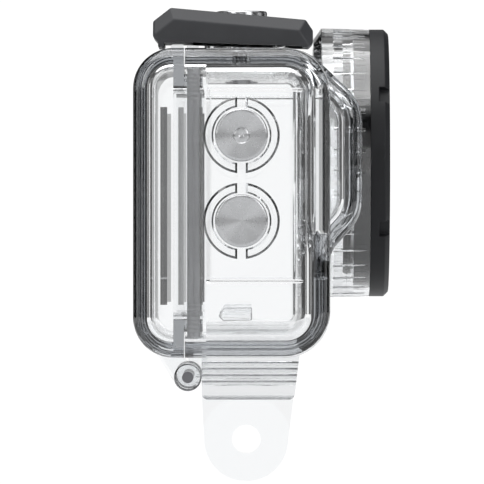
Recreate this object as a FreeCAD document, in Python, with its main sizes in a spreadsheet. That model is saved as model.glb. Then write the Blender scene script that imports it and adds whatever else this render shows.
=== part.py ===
import FreeCAD, Part
import os
import Sketcher
from FreeCAD import Placement, Rotation, Vector

# Clear waterproof dive housing for an action camera, millimetres.
# Frame: the origin is the centre of the mounting finger's bore. +Z is up, -Y is the lens side,
# +Y is the door side and +X is the side away from the two side buttons.

os.makedirs("parts", exist_ok=True)
doc = FreeCAD.newDocument("DiveHousing")
dims = doc.addObject("Spreadsheet::Sheet", "dims")

DIMENSIONS = [
    # shell
    ("half_width", 39.0), ("shell_bottom", 15.0), ("shell_top", 68.9), ("front_face", -14.6),
    ("split_plane", 10.75), ("split_gap", 0.15), ("door_face", 19.7), ("wall", 2.6),
    ("side_wall", 3.0), ("front_wall", 2.8), ("door_window", 2.4),
    ("front_radius", 8.0), ("rear_radius", 7.0), ("loop_radius", 2.6),
    ("cavity_radius", 5.0), ("cavity_loop", 1.5), ("cavity_side", 3.7), ("mouth_front", 7.0),
    ("rib_low", 28.3), ("rib_high", 61.6),
    ("rib_width", 0.7), ("rib_depth", 0.5),
    ("rib_bevel", 0.25), ("facet_low", 24.2), ("facet_high", 58.6), ("lead_deep", 6.95),
    ("lead_shallow", 6.35), ("lead_depth", 0.13),
    # lens barrel, measured from the lens axis
    ("lens_across", 14.0), ("lens_height", 49.4), ("barrel_radius", 24.3),
    ("barrel_front_radius", 24.05), ("barrel_rear", -12.05), ("barrel_bevel", 1.4),
    ("barrel_bevel_depth", 2.0), ("flute_radius", 0.55), ("ledge_rear", -15.6),
    ("flute_depth", 0.3), ("flute_margin", 0.9), ("port_gap", 0.03), ("barrel_bore", 21.0),
    ("ledge_bore", 18.3), ("window_rear", -18.6), ("window_front", -21.0),
    ("window_radius", 20.35), ("collar_rear", -19.15), ("collar_radius", 22.45),
    ("ring_rear", -22.1), ("ring_front", -25.55), ("ring_bore", 19.4), ("ring_bevel", 0.85),
    ("notch_angle", 30.0), ("notch_height", 3.0), ("notch_depth", 1.9), ("notch_reach", 1.2),
    ("lens_seal_radius", 19.6), ("lens_seal_wire", 0.7),
    # hollow bulge beside the barrel
    ("cheek_near", -35.6), ("cheek_far", 3.0), ("cheek_front", -20.2), ("cheek_foot", 16.0),
    ("cheek_crest", 10.0), ("cheek_shoulder", -10.4), ("cheek_rear", -6.0), ("cheek_sink", 0.02),
    ("cheek_skirt", 3.0), ("cheek_blend", 5.0), ("cheek_wall", 3.0), ("cheek_radius", 8.5),
    ("cheek_inner_foot", 12.9), ("cheek_inner_crest", 8.8), ("cheek_edge", 2.4),
    ("cheek_inner_edge", 1.4),
    # mounting fingers, a two-prong action-camera mount
    ("finger_radius", 7.5), ("finger_bore", 2.55), ("finger_half", 4.6), ("slot_half", 1.6),
    ("slot_radius", 7.9), ("block_foot", 7.1), ("block_half", 8.0), ("block_rear", 7.9),
    ("block_front", -9.6), ("block_taper", 1.1), ("block_radius", 1.2),
    ("groove_wire", 0.45), ("groove_first", 2.9), ("groove_pitch", 1.15),
    # hinge of the door
    ("hinge_y", 10.3), ("hinge_z", 11.3), ("hinge_pin", 1.0), ("knuckle", 2.43),
    ("knuckle_bevel", 0.25), ("web_step", 0.4),
    ("hinge_fit", 0.05), ("fixed_inner", 8.6), ("fixed_outer", 14.0), ("swing_outer", 19.6),
    ("knuckle_gap", 0.3), ("hinge_half", 20.2), ("ear_rear", 16.3), ("ear_top", 16.2),
    # door plug and gasket
    ("plug_front", 7.6), ("plug_wall", 2.0), ("seal_gap", 0.3), ("gasket", 1.6),
    ("gasket_front", 8.1), ("gasket_rear", 10.3), ("flange_rear", 12.7), ("door_radius", 4.4),
    ("facet_one_deep", 13.75), ("facet_one_shallow", 14.95), ("facet_one_depth", 0.55),
    ("facet_two_deep", 10.9), ("facet_two_shallow", 11.85), ("facet_two_depth", 0.32),
    ("facet_lead", 0.9),
    # latch
    ("latch_near", -33.0), ("latch_far", -9.0), ("latch_wall", 2.5), ("latch_bevel", 2.0),
    ("latch_round", 0.7),
    ("arm_pivot_y", -6.0), ("arm_pivot_z", 70.7), ("lever_pivot_y", 6.0), ("lever_pivot_z", 71.9),
    ("latch_pin", 0.8), ("latch_fit", 0.05), ("eye", 1.4), ("arm_half", 3.8), ("ear_width", 2.6),
    ("latch_gap", 0.3), ("keeper_front", 10.95), ("keeper_rear", 13.2), ("keeper_top", 69.65),
    ("lip_front", 14.3), ("lip_rear", 15.4), ("lip_bottom", 69.3), ("ridge_front", 8.3),
    ("ridge_rear", 10.4), ("ridge_top", 69.4), ("lip_bevel", 0.3), ("lip_root", 70.0),
    ("crown_rear", 13.2), ("crown_rear_top", 76.05), ("lever_tail", 16.3), ("tail_top", 73.65),
    ("tail_foot", 71.0), ("heel", 10.0), ("nose", -11.65), ("nose_bevel", 0.65),
    ("nose_foot", 69.3), ("nose_top", 72.05), ("crown_front", -10.4), ("crown_front_top", 73.95),
    ("pocket_front", -9.9), ("pocket_front_top", 72.45), ("pocket_rear", 9.4),
    ("pocket_rear_top", 74.0), ("wing_front", 1.0), ("wing_drop", 1.4), ("wing_rise", 0.4),
    ("pin_wall", 0.8),
    # push buttons, along their own axis, zero at the seat and positive inwards
    ("button_y", 0.84), ("upper_button", 53.7), ("lower_button", 38.8), ("shutter_across", 9.0),
    ("shutter_seat", 73.4), ("boss_radius", 6.65), ("boss_height", 1.6), ("boss_top", 1.0),
    ("cap_radius", 4.6), ("cap_face", 3.2), ("cap_skirt", 0.9), ("cap_bevel", 0.35),
    ("cap_well", 4.9), ("well_floor", 0.9), ("spring_well", 3.2), ("spring_floor", 2.4),
    ("cap_recess", 2.2), ("shaft", 1.6), ("shaft_fit", 0.05), ("inner_boss", 4.2),
    ("side_bore_end", 5.0), ("slot_width", 2.2), ("slot_depth", 1.0), ("slot_flank", 0.35),
    ("shallow_slot", 0.2), ("clear_above", 5.0), ("boss_bevel", 0.4), ("well_bevel", 0.3),
    ("clip_gap", 0.15), ("clip_thickness", 0.6), ("clip_radius", 2.9), ("groove_radius", 1.15),
    ("tip_start", 1.4), ("tip_length", 1.3), ("tip_radius", 2.0), ("shaft_seal_wire", 0.35),
    ("spring_radius", 2.5), ("spring_wire", 0.22), ("spring_turns", 5.0),
    ("spring_slack", 0.05),
    # camera locators on the side walls
    ("locator_front", -1.0), ("locator_rear", 4.9), ("locator_low", 21.4),
    ("locator_high", 23.8), ("locator_depth", 1.4),
]
for row, (alias, number) in enumerate(DIMENSIONS, start=1):
    dims.set("A%d" % row, alias)
    dims.set("B%d" % row, str(number))
    dims.setAlias("B%d" % row, alias)
doc.recompute()

SUB_PARTS = {}
FLUTES = 40
BLOCK_GROOVES = 4
TURN = {"x": Rotation(Vector(0, 1, 0), 90), "y": Rotation(Vector(1, 0, 0), -90), "z": Rotation()}
DIRECTIONS = {
    "x": Rotation(),
    "y": Rotation(Vector(0, 0, 1), 90),
    "down": Rotation(Vector(0, 1, 0), 90),
}
PLANES = {"XY": "XY_Plane", "YZ": "YZ_Plane"}


def sheet(text):
    """Write an expression's words as cells of the sheet: 'wall * 2' is 'dims.wall * 2'."""
    words = text.replace("(", " ( ").replace(")", " ) ").split()
    return " ".join("dims." + word if word[0].isalpha() else word for word in words)


def value(text):
    return float(dims.evalExpression(sheet(text)))


def add(kind, name):
    return doc.addObject(kind, name)


def bind(item, target, text):
    item.setExpression(target, sheet(text))


def locate(item, place):
    for letter, text in zip("xyz", place):
        bind(item, "Placement.Base." + letter, text)


def box(name, low, high):
    """A box between two corners, each three expressions."""
    item = add("Part::Box", name)
    for side, start, end in zip(("Length", "Width", "Height"), low, high):
        bind(item, side, "( %s ) - ( %s )" % (end, start))
    locate(item, low)
    return item


def cylinder(name, axis, place, radius, length):
    """A cylinder from place, along the positive axis."""
    item = add("Part::Cylinder", name)
    item.Placement = Placement(Vector(), TURN[axis])
    bind(item, "Radius", radius)
    bind(item, "Height", length)
    locate(item, place)
    return item


def cone(name, axis, place, first, last, length):
    item = add("Part::Cone", name)
    item.Placement = Placement(Vector(), TURN[axis])
    bind(item, "Radius1", first)
    bind(item, "Radius2", last)
    bind(item, "Height", length)
    locate(item, place)
    return item


def torus(name, axis, place, radius, wire):
    item = add("Part::Torus", name)
    item.Placement = Placement(Vector(), TURN[axis])
    bind(item, "Radius1", radius)
    bind(item, "Radius2", wire)
    locate(item, place)
    return item


def union(name, shapes):
    item = add("Part::MultiFuse", name)
    item.Shapes = shapes
    return item


def cut(name, base, tools):
    item = add("Part::Cut", name)
    item.Base = base
    item.Tool = tools[0] if len(tools) == 1 else union(name + "_tools", tools)
    return item


def rounded(name, base, radius, test, kind="Part::Fillet"):
    """Round or bevel the edges that pass the test."""
    doc.recompute()
    item = add(kind, name)
    item.Base = base
    size = value(radius)
    chosen = [i for i, edge in enumerate(base.Shape.Edges, start=1) if test(edge)]
    item.Edges = [(i, size, size) for i in chosen]
    doc.recompute()
    return item


def along(edge, letter):
    """The edge is a straight line parallel to that axis."""
    box = edge.BoundBox
    spans = {"x": box.XLength, "y": box.YLength, "z": box.ZLength}
    others = [span for key, span in spans.items() if key != letter]
    return spans[letter] > 1.0 and max(others) < 1e-4


def near(first, second):
    return abs(first - second) < 1e-3


def outline(body, name, plane, points, start="0"):
    """A closed sketch of straight lines, every corner bound to the sheet."""
    sketch = body.newObject("Sketcher::SketchObject", name)
    role = PLANES[plane]
    origin_plane = [item for item in body.Origin.OriginFeatures if item.Role == role][0]
    sketch.AttachmentSupport = (origin_plane, [""])
    sketch.MapMode = "FlatFace"
    bind(sketch, "AttachmentOffset.Base.z", start)
    corners = [Vector(value(first), value(second), 0) for first, second in points]
    count = len(corners)
    for i in range(count):
        sketch.addGeometry(Part.LineSegment(corners[i], corners[(i + 1) % count]))
    for i in range(count):
        sketch.addConstraint(Sketcher.Constraint("Coincident", i, 2, (i + 1) % count, 1))
    for i, (first, second) in enumerate(points):
        for kind, text in (("DistanceX", first), ("DistanceY", second)):
            index = sketch.addConstraint(Sketcher.Constraint(kind, -1, 1, i, 1, value(text)))
            bind(sketch, "Constraints[%d]" % index, text)
    return sketch


def prism(name, points, start, end, plane="YZ"):
    """A profile in (Y, Z) padded along +X, or in (X, Y) padded along +Z, from start to end."""
    body = add("PartDesign::Body", name)
    sketch = outline(body, name + "_profile", plane, points, start)
    pad = body.newObject("PartDesign::Pad", name + "_pad")
    pad.Profile = sketch
    bind(pad, "Length", "( %s ) - ( %s )" % (end, start))
    return body


def turned(name, points, direction="x", place=("0", "0", "0")):
    """A profile of (along, radius) points, turned about the body's own X axis."""
    body = add("PartDesign::Body", name)
    sketch = outline(body, name + "_profile", "XY", points)
    turn = body.newObject("PartDesign::Revolution", name + "_turn")
    turn.Profile = sketch
    axis = [item for item in body.Origin.OriginFeatures if item.Role == "X_Axis"][0]
    turn.ReferenceAxis = (axis, [""])
    turn.Angle = 360.0
    body.Placement = Placement(Vector(), DIRECTIONS[direction])
    locate(body, place)
    return body


def sub_part(item, label):
    """Name a finished piece: the label is its node and its file."""
    item.Label = label
    SUB_PARTS[label] = item
    return item


# ---------------------------------------------------------------- push buttons
def along_button(button, depth):
    """The place on a button's axis at a depth below its seat."""
    if button["direction"] == "x":
        return ("%s + %s" % (button["seat"], depth), button["y"], button["z"])
    return (button["x"], button["y"], "%s - ( %s )" % (button["seat"], depth))


def button_disc(name, button, radius, start, end):
    """A disc on a button's axis between two depths."""
    length = "( %s ) - ( %s )" % (end, start)
    if button["direction"] == "x":
        return cylinder(name, "x", along_button(button, "( %s )" % start), radius, length)
    return cylinder(name, "z", along_button(button, end), radius, length)


def button_boss(button):
    """The clear boss outside the wall and the guide inside it."""
    name = button["name"]
    boss = button["boss"]
    outer = turned(name + "_boss", [
        ("0 - %s" % boss, "0"),
        ("0 - %s" % boss, "boss_radius - boss_bevel"),
        ("boss_bevel - %s" % boss, "boss_radius"),
        (button["root"], "boss_radius"),
        (button["root"], "0"),
    ], button["direction"], along_button(button, "0"))
    guide = button_disc(name + "_guide", button, "inner_boss", "0", button["bore_end"])
    return [outer, guide]


def button_wells(button):
    """The cap's well, the spring's well, the shaft's bore and the two drain slots."""
    name = button["name"]
    boss = button["boss"]
    wells = [
        turned(name + "_cap_well", [
            ("0 - clear_above", "0"),
            ("0 - clear_above", "cap_well + well_bevel"),
            ("0 - %s" % boss, "cap_well + well_bevel"),
            ("well_bevel - %s" % boss, "cap_well"),
            ("well_floor", "cap_well"),
            ("well_floor", "0"),
        ], button["direction"], along_button(button, "0")),
        button_disc(name + "_spring_well", button, "spring_well", "0", "spring_floor"),
        button_disc(name + "_bore", button, "shaft + shaft_fit", "0", "12"),
    ]
    half = "slot_width / 2"
    if button["direction"] == "x":
        low = ("%s - clear_above" % button["seat"], "%s - %s" % (button["y"], half),
               "%s - boss_radius - 1" % button["z"])
        high = ("%s - ( boss_height - slot_depth )" % button["seat"],
                "%s + %s" % (button["y"], half), "%s + boss_radius + 1" % button["z"])
        floor = value(high[0])
        slots = rounded(name + "_slots", box(name + "_slots_block", low, high), "slot_flank",
                        lambda edge: along(edge, "z") and near(edge.BoundBox.XMax, floor),
                        "Part::Chamfer")
    else:
        low = ("%s - boss_radius - 1" % button["x"], "%s - %s" % (button["y"], half),
               "%s + shallow_slot" % button["seat"])
        high = ("%s + boss_radius + 1" % button["x"], "%s + %s" % (button["y"], half),
                "%s + clear_above" % button["seat"])
        floor = value(low[2])
        slots = rounded(name + "_slots", box(name + "_slots_block", low, high), "slot_flank",
                        lambda edge: along(edge, "x") and near(edge.BoundBox.ZMin, floor),
                        "Part::Chamfer")
    return wells + [slots]


def build_button(button):
    """Cap with its shaft, shaft seal, retaining clip, tip and return spring."""
    name = button["name"]
    end = button["bore_end"]
    direction = button["direction"]
    seat = along_button(button, "0")
    clip = "( %s + clip_gap )" % end
    tip = "( %s + tip_start )" % end
    seal = "( %s - 1.2 )" % end
    cap = turned(name + "_cap_body", [
        ("0 - cap_face", "0"),
        ("0 - cap_face", "cap_radius - cap_bevel"),
        ("cap_bevel - cap_face", "cap_radius"),
        ("0 - cap_skirt", "cap_radius"),
        ("0 - cap_skirt", "spring_well"),
        ("0 - cap_recess", "spring_well"),
        ("0 - cap_recess", "shaft"),
        ("%s - shaft_seal_wire" % seal, "shaft"),
        ("%s - shaft_seal_wire" % seal, "shaft - 2 * shaft_seal_wire"),
        ("%s + shaft_seal_wire" % seal, "shaft - 2 * shaft_seal_wire"),
        ("%s + shaft_seal_wire" % seal, "shaft"),
        (clip, "shaft"),
        (clip, "groove_radius"),
        ("%s + clip_thickness" % clip, "groove_radius"),
        ("%s + clip_thickness" % clip, "shaft"),
        (tip, "shaft"),
        (tip, "0"),
    ], direction, seat)
    sub_part(cap, name + "_cap")
    axis = "x" if direction == "x" else "z"
    ring = torus(name + "_seal_ring", axis, along_button(button, seal),
                 "shaft - shaft_seal_wire", "shaft_seal_wire")
    sub_part(ring, name + "_seal")
    plate = button_disc(name + "_clip_plate", button, "clip_radius", clip,
                        "%s + clip_thickness" % clip)
    hole = button_disc(name + "_clip_hole", button, "groove_radius", clip,
                       "%s + clip_thickness" % clip)
    centre = along_button(button, "%s + clip_thickness / 2" % clip)
    if direction == "x":
        low = ("%s - 1" % centre[0], "%s - groove_radius" % centre[1], "%s - 4" % centre[2])
        high = ("%s + 1" % centre[0], "%s + groove_radius" % centre[1], centre[2])
    else:
        low = ("%s - 4" % centre[0], "%s - groove_radius" % centre[1], "%s - 1" % centre[2])
        high = (centre[0], "%s + groove_radius" % centre[1], "%s + 1" % centre[2])
    mouth = box(name + "_clip_mouth", low, high)
    sub_part(cut(name + "_clip_body", plate, [hole, mouth]), name + "_clip")
    pad = turned(name + "_tip_body", [
        (tip, "0"),
        (tip, "tip_radius"),
        ("%s + tip_length - 0.4" % tip, "tip_radius"),
        ("%s + tip_length" % tip, "tip_radius - 0.4"),
        ("%s + tip_length" % tip, "0"),
    ], direction, seat)
    sub_part(pad, name + "_tip")
    build_spring(button)


def build_spring(button):
    """Return spring: a round wire wound between the cap's recess and the spring's well."""
    name = button["name"]
    length = "spring_floor + cap_recess - 2 * spring_wire - 2 * spring_slack"
    helix = add("Part::Helix", name + "_spring_line")
    bind(helix, "Pitch", "( %s ) / spring_turns" % length)
    bind(helix, "Height", length)
    bind(helix, "Radius", "spring_radius")
    helix.SegmentLength = 1.0
    wire = add("Part::Circle", name + "_spring_section")
    wire.Placement = Placement(Vector(), Rotation(Vector(1, 0, 0), 90))
    bind(wire, "Radius", "spring_wire")
    bind(wire, "Placement.Base.x", "spring_radius")
    coil = add("Part::Sweep", name + "_spring_coil")
    coil.Sections = [wire]
    coil.Spine = (helix, [])
    coil.Solid = True
    coil.Frenet = True
    turn = TURN["x"] if button["direction"] == "x" else Rotation(Vector(1, 0, 0), 180)
    coil.Placement = Placement(Vector(), turn)
    locate(coil, along_button(button, "( spring_wire + spring_slack - cap_recess )"))
    sub_part(coil, name + "_spring")


BUTTONS = [
    {"name": "upper_side_button", "direction": "x", "seat": "0 - half_width", "y": "button_y",
     "z": "upper_button", "boss": "boss_height", "root": "side_wall / 2",
     "bore_end": "side_bore_end"},
    {"name": "lower_side_button", "direction": "x", "seat": "0 - half_width", "y": "button_y",
     "z": "lower_button", "boss": "boss_height", "root": "side_wall / 2",
     "bore_end": "side_bore_end"},
    {"name": "shutter_button", "direction": "down", "seat": "shutter_seat", "y": "button_y",
     "x": "shutter_across", "boss": "boss_top", "root": "shutter_seat - shell_top + 1",
     "bore_end": "( shutter_seat - shell_top + wall )"},
]


# ---------------------------------------------------------------- front housing
def shell_outside():
    """The shell's outer block, its two front edges and its two side loops rounded."""
    block = box("shell_block", ("0 - half_width", "front_face", "shell_bottom"),
                ("half_width", "split_plane - split_gap / 2", "shell_top"))
    front = value("front_face")
    first = rounded("shell_nose", block, "front_radius",
                    lambda edge: along(edge, "x") and near(edge.BoundBox.YMax, front))
    half = value("half_width")
    rear = value("split_plane - split_gap / 2")
    return rounded("shell_loops", first, "loop_radius",
                   lambda edge: near(abs(edge.CenterOfMass.x), half)
                   and not near(edge.BoundBox.YMin, rear))


def frame_block(name, gap, front, rear):
    """A block with the cavity's outline, set in by gap, with rounded corners."""
    inner = "half_width - side_wall - ( %s )" % gap
    block = box(name + "_block", ("0 - ( %s )" % inner, front, "shell_bottom + wall + %s" % gap),
                (inner, rear, "shell_top - wall - ( %s )" % gap))
    return rounded(name + "_corners", block, "cavity_loop", lambda edge: along(edge, "y"))


def cavity():
    """The camera's space, well rounded at the sides, and the squarer mouth behind it."""
    block = box("cavity_block", ("side_wall - half_width", "front_face + front_wall",
                                 "shell_bottom + wall"),
                ("half_width - side_wall", "mouth_front", "shell_top - wall"))
    front = value("front_face + front_wall")
    first = rounded("cavity_nose", block, "cavity_radius",
                    lambda edge: along(edge, "x") and near(edge.BoundBox.YMax, front))
    half = value("half_width - side_wall")
    rear = value("mouth_front")
    room = rounded("cavity_loops", first, "cavity_side",
                   lambda edge: near(abs(edge.CenterOfMass.x), half)
                   and not near(edge.BoundBox.YMin, rear))
    return [room, frame_block("cavity_mouth", "0", "mouth_front - 0.01", "split_plane + 1")]


def lens_place(along_axis):
    return ("lens_across", along_axis, "lens_height")


def barrel_outside():
    bevel = cone("barrel_bevel_ring", "y", lens_place("barrel_rear - barrel_bevel"),
                 "barrel_radius", "barrel_radius - barrel_bevel_depth", "barrel_bevel")
    wall = cone("barrel_wall", "y", lens_place("ring_rear"), "barrel_front_radius",
                "barrel_radius", "barrel_rear - barrel_bevel - ring_rear")
    return [bevel, wall]


def shell_stencil():
    """The shell's outer block grown by the port's gap, to trim the port where they meet."""
    grow = "port_gap"
    block = box("stencil_block", ("0 - half_width - %s" % grow, "front_face - %s" % grow,
                                  "shell_bottom - %s" % grow),
                ("half_width + %s" % grow, "split_plane", "shell_top + %s" % grow))
    front = value("front_face - port_gap")
    return rounded("stencil_nose", block, "front_radius",
                   lambda edge: along(edge, "x") and near(edge.BoundBox.YMax, front))


def barrel_inside():
    """Bore behind the ledge, the ledge's opening, the window's seat and the ring's thread."""
    rear = "front_face + front_wall + 1"
    steps = [
        ("barrel_bore_cut", "ledge_rear", rear, "barrel_bore"),
        ("ledge_bore_cut", "window_rear", rear, "ledge_bore"),
        ("window_seat_cut", "ring_rear - 1", "window_rear", "window_radius + 0.15"),
        ("collar_seat_cut", "ring_rear - 1", "collar_rear + 0.1", "collar_radius + 0.1"),
    ]
    tools = [cylinder(name, "y", lens_place(start), radius, "( %s ) - ( %s )" % (end, start))
             for name, start, end, radius in steps]
    place = lens_place("window_rear - 0.1")
    depth = "2 * lens_seal_wire + 0.1"
    groove = cylinder("lens_groove_outer", "y", place, "lens_seal_radius + lens_seal_wire", depth)
    island = cylinder("lens_groove_island", "y", place, "lens_seal_radius - lens_seal_wire", depth)
    tools.append(cut("lens_seal_groove", groove, [island]))
    return tools


def cheek_outside():
    """The bulge: its top level with the shell's, its foot blended into the shell's front."""
    root = "front_face + cheek_sink"
    foot = "lens_height - cheek_foot"
    body = prism("cheek_block", [
        ("cheek_rear", foot + " - cheek_skirt"),
        (root, foot + " - cheek_skirt"),
        (root, foot),
        ("cheek_front", "lens_height - cheek_crest"),
        ("cheek_front", "lens_height + cheek_crest"),
        ("cheek_shoulder", "shell_top - cheek_sink"),
        ("cheek_rear", "shell_top - cheek_sink"),
    ], "cheek_near", "cheek_far")
    corners = [("cheek_front", "lens_height - cheek_crest"),
               ("cheek_front", "lens_height + cheek_crest"),
               ("cheek_shoulder", "shell_top - cheek_sink")]
    places = [(value(across), value(height)) for across, height in corners]
    round_body = rounded("cheek_shoulders", body, "cheek_radius",
                         lambda edge: along(edge, "x")
                         and any(near(edge.BoundBox.YMax, y) and near(edge.BoundBox.ZMax, z)
                                 for y, z in places))
    low = value(foot)
    blended = rounded("cheek_foot_blend", round_body, "cheek_blend",
                      lambda edge: along(edge, "x") and near(edge.BoundBox.ZMax, low))
    ends = (value("cheek_near"), value("cheek_far"))
    rear = value("cheek_rear")
    bottom = value(foot + " - cheek_skirt")
    return rounded("cheek_edges", blended, "cheek_edge",
                   lambda edge: any(near(edge.BoundBox.XMax, x) and near(edge.BoundBox.XMin, x)
                                    for x in ends)
                   and not near(edge.BoundBox.YMin, rear)
                   and not near(edge.BoundBox.ZMax, bottom))


def cheek_inside():
    """The bulge's hollow, one wall inside its outline."""
    rear = "front_face + front_wall + 1"
    root = "front_face + 1.2"
    front = "cheek_front + cheek_wall"
    near_end = "cheek_near + cheek_wall"
    body = prism("cheek_hollow", [
        (rear, "lens_height - cheek_inner_foot"),
        (root, "lens_height - cheek_inner_foot"),
        (front, "lens_height - cheek_inner_crest"),
        (front, "lens_height + cheek_inner_crest"),
        (root, "lens_height + cheek_inner_foot"),
        (rear, "lens_height + cheek_inner_foot"),
    ], near_end, "lens_across - barrel_radius - cheek_wall")
    face = value(front)
    crests = rounded("cheek_hollow_crests", body, "cheek_radius - cheek_wall",
                     lambda edge: along(edge, "x") and near(edge.BoundBox.YMax, face))
    end = value(near_end)
    return rounded("cheek_hollow_edges", crests, "cheek_inner_edge",
                   lambda edge: near(edge.BoundBox.XMax, end)
                   and edge.BoundBox.YMax < value(root) + 0.1
                   and edge.BoundBox.YLength + edge.BoundBox.ZLength > 1.0)


def mount_fingers():
    """Block under the shell and the two prongs of the mount."""
    block = prism("finger_block", [
        ("block_rear", "shell_bottom + 1"),
        ("block_rear", "block_foot"),
        ("block_front + block_taper", "block_foot"),
        ("block_front", "shell_bottom + 1"),
    ], "0 - block_half", "block_half")
    foot = value("block_foot")
    block = rounded("finger_block_rounded", block, "block_radius",
                    lambda edge: near(edge.BoundBox.ZMax, foot))
    web = prism("finger_web", [
        ("block_rear", "block_foot + 1"),
        ("finger_radius", "0"),
        ("0 - finger_radius", "0"),
        ("block_front + block_taper", "block_foot + 1"),
    ], "0 - finger_half", "finger_half")
    place = ("0 - finger_half", "0", "0")
    eye = cylinder("finger_eye", "x", place, "finger_radius", "2 * finger_half")
    return [block, web, eye]


def finger_cuts():
    """The bore, the root of the slot between the prongs and the block's grip grooves."""
    grooves = []
    for side in (-1, 1):
        for number in range(BLOCK_GROOVES):
            name = "block_groove_%s_%d" % ("near" if side < 0 else "far", number)
            place = ("( block_half + groove_wire / 2 ) * %d" % side, "block_front - 1",
                     "block_foot + groove_first + groove_pitch * %d" % number)
            grooves.append(cylinder(name, "y", place, "groove_wire",
                                    "block_rear - block_front + 2"))
    bore = cylinder("finger_bore_cut", "x", ("0 - finger_half - 1", "0", "0"), "finger_bore",
                    "2 * finger_half + 2")
    root = cylinder("finger_slot_root", "x", ("0 - slot_half", "0", "0"), "slot_radius",
                    "2 * slot_half")
    return [bore, root] + grooves


def knuckle_web(name, points, start, end):
    """A hinge knuckle with bevelled ends and the narrower web that joins it to its wall."""
    barrel = turned(name + "_barrel", [
        (start, "0"),
        (start, "knuckle - knuckle_bevel"),
        ("%s + knuckle_bevel" % start, "knuckle"),
        ("%s - knuckle_bevel" % end, "knuckle"),
        (end, "knuckle - knuckle_bevel"),
        (end, "0"),
    ], "x", ("0", "hinge_y", "hinge_z"))
    web = prism(name + "_web", points, "%s + web_step" % start, "%s - web_step" % end)
    return [barrel, web]


def fixed_knuckles():
    points = [
        ("hinge_y", "shell_bottom + 1"),
        ("hinge_y - knuckle * 1.6", "shell_bottom + 1"),
        ("hinge_y - knuckle * 0.9", "hinge_z - knuckle * 0.43"),
        ("hinge_y", "hinge_z"),
    ]
    left = knuckle_web("fixed_knuckle_left", points, "0 - fixed_outer", "0 - fixed_inner")
    right = knuckle_web("fixed_knuckle_right", points, "fixed_inner", "fixed_outer")
    return left + right


def arm_ears():
    """Two lugs that hold the latch arm's pin, and the ridge beside the split."""
    middle = "( latch_near + latch_far ) / 2"
    inner = "arm_half + latch_gap"
    outer = "arm_half + latch_gap + ear_width"
    shapes = []
    spans = [("near", middle + " - ( %s )" % outer, middle + " - ( %s )" % inner),
             ("far", middle + " + %s" % inner, middle + " + %s" % outer)]
    for side, start, end in spans:
        length = "( %s ) - ( %s )" % (end, start)
        shapes.append(cylinder("arm_ear_" + side, "x", (start, "arm_pivot_y", "arm_pivot_z"),
                               "eye", length))
        shapes.append(box("arm_ear_foot_" + side,
                          (start, "arm_pivot_y - eye", "shell_top - 1"),
                          (end, "arm_pivot_y + eye", "arm_pivot_z")))
    shapes.append(box("split_ridge", ("latch_near + latch_wall", "ridge_front", "shell_top - 1"),
                      ("latch_far - latch_wall", "ridge_rear", "ridge_top")))
    return shapes


def wall_ribs():
    """Thin guide ribs along the inside of both side walls."""
    wall = "half_width - side_wall"
    shapes = []
    for level in ("rib_low", "rib_high"):
        for side in (-1, 1):
            name = "wall_%s_%s" % (level, "near" if side < 0 else "far")
            crest = "( %s - rib_depth ) * %d" % (wall, side)
            root = "( %s + 0.5 ) * %d" % (wall, side)
            low, high = (root, crest) if side < 0 else (crest, root)
            rib = box(name, (low, "front_face + front_wall - 0.5", "%s - rib_width / 2" % level),
                      (high, "plug_front - 0.8", "%s + rib_width / 2" % level))
            face = value(crest)
            shapes.append(rounded(name + "_beveled", rib, "rib_bevel",
                                  lambda edge: along(edge, "y") and near(edge.BoundBox.XMin, face),
                                  "Part::Chamfer"))
    return shapes


def side_facets(name, wall, steps, start, end):
    """Upright sawtooth cuts in both side walls, each given as (deep end, shallow end, depth)."""
    cuts = []
    for side in (-1, 1):
        for number, (deep, shallow, depth) in enumerate(steps):
            points = [
                ("( %s - 0.5 ) * %d" % (wall, side), shallow),
                ("( %s ) * %d" % (wall, side), shallow),
                ("( %s + %s ) * %d" % (wall, depth, side), deep),
                ("( %s - 0.5 ) * %d" % (wall, side), deep),
            ]
            label = "%s_%s_%d" % (name, "near" if side < 0 else "far", number)
            cuts.append(prism(label, points, start, end, "XY"))
    return cuts


def port_flutes():
    """Fine grooves along the port, evenly spaced around it."""
    start = value("ring_rear") + value("flute_margin")
    end = value("front_face") - value("flute_margin")
    radius = value("barrel_radius") + value("flute_radius") - value("flute_depth")
    centre = Vector(value("lens_across"), start, value("lens_height"))
    flutes = []
    for number in range(FLUTES):
        turn = Rotation(Vector(0, 1, 0), 360.0 * (number + 0.5) / FLUTES)
        flute = add("Part::Cylinder", "port_flute_%02d" % number)
        bind(flute, "Radius", "flute_radius")
        flute.Height = end - start
        flute.Placement = Placement(centre + turn.multVec(Vector(radius, 0, 0)), TURN["y"])
        flutes.append(flute)
    return flutes


def build_lens_port():
    """The round port bonded to the shell's front wall."""
    barrel = union("port_outside", barrel_outside())
    tools = [shell_stencil()] + barrel_inside() + port_flutes()
    sub_part(cut("port_body", barrel, tools), "lens_port")


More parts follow.
